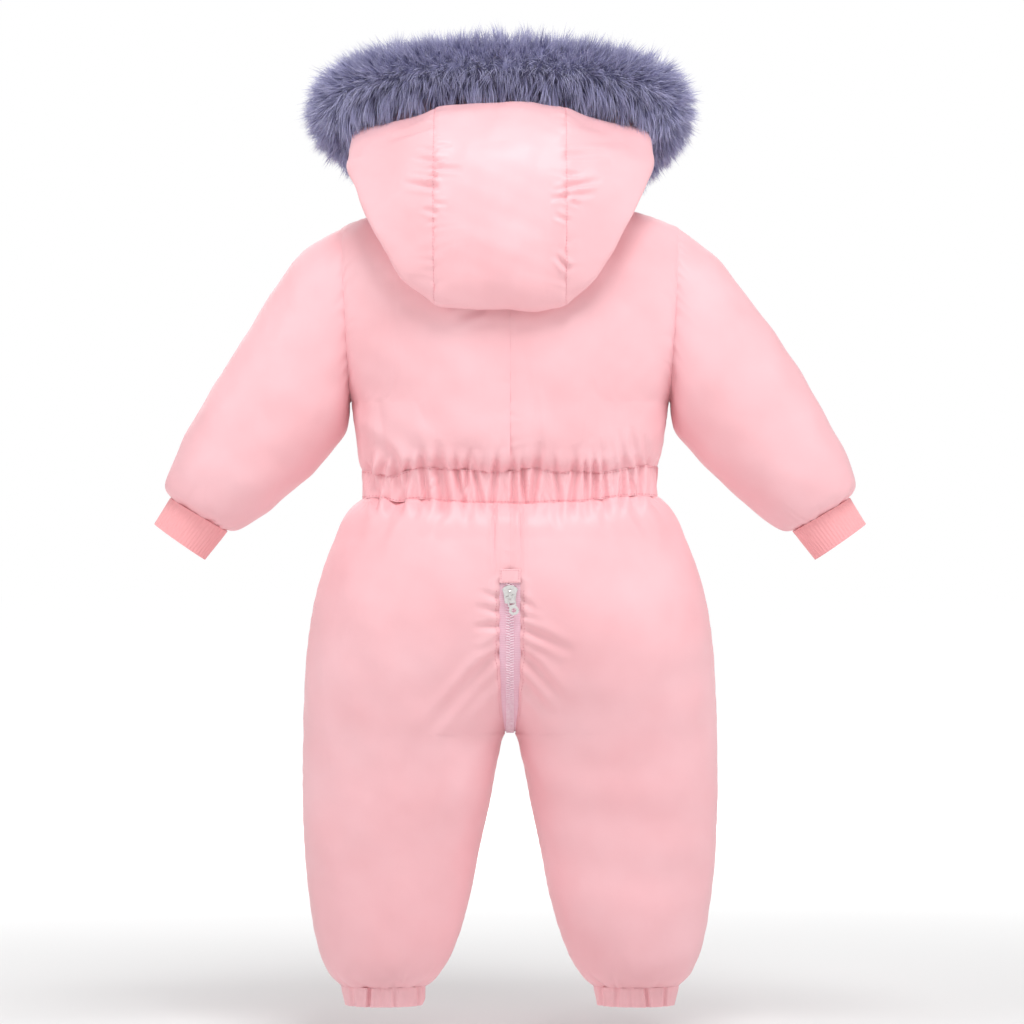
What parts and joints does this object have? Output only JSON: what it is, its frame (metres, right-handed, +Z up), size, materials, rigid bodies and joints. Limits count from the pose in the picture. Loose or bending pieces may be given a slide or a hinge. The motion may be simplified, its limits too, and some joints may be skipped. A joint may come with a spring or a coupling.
{
  "type": "toddler snowsuit",
  "caption": "Padded one-piece toddler snowsuit with fur-trimmed hood, gathered waist, rib cuffs and zips at chest and seat, filled out as worn.",
  "frame": {"origin": "middle of the neck opening, at the height where the wearer's shoulders hold the suit up", "axes": "+Z up, +Y out of the back, +X to the wearer's left"},
  "size_m": [0.657, 0.1993, 0.8969],
  "materials": {
    "shell": "satin",
    "knit": "matte",
    "fur": "matte",
    "tape": "matte",
    "metal": "polished"
  },
  "bodies": {
    "suit": {"bodice_back_left": "shell", "bodice_back_right": "shell", "bodice_front_left": "shell", "bodice_front_right": "shell", "waistband_front_left": "shell", "waistband_front_right": "shell", "trouser_back_left": "shell", "trouser_back_right": "shell", "trouser_front_left": "shell", "trouser_front_right": "shell", "sleeve_left": "shell", "sleeve_right": "shell", "ankle_band_left": "shell", "ankle_band_right": "shell", "hood_side_left": "shell", "hood_side_right": "shell", "waistband_back": "shell", "hood_centre": "shell", "seat_zip_end_patch": "shell", "wrist_cuff_left": "knit", "wrist_cuff_right": "knit", "fur_trim": "fur", "seat_zip": "tape", "front_zip": "tape", "seat_zip_slider": "metal", "front_zip_slider": "metal"},
    "seat_pull": {"seat_zip_pull": "metal"},
    "front_pull": {"front_zip_pull": "metal"}
  },
  "joints": [
    {"name": "seat_pull_hinge", "type": "hinge", "parent": "suit", "child": "seat_pull", "pos_m": [0, 0.09153, -0.34021], "axis": [0.9613, -0.0284, -0.2741], "range_deg": [0, 110]},
    {"name": "front_pull_hinge", "type": "hinge", "parent": "suit", "child": "front_pull", "pos_m": [0, -0.0774, -0.07303], "axis": [-1, 0, 0], "range_deg": [0, 110]}
  ]
}
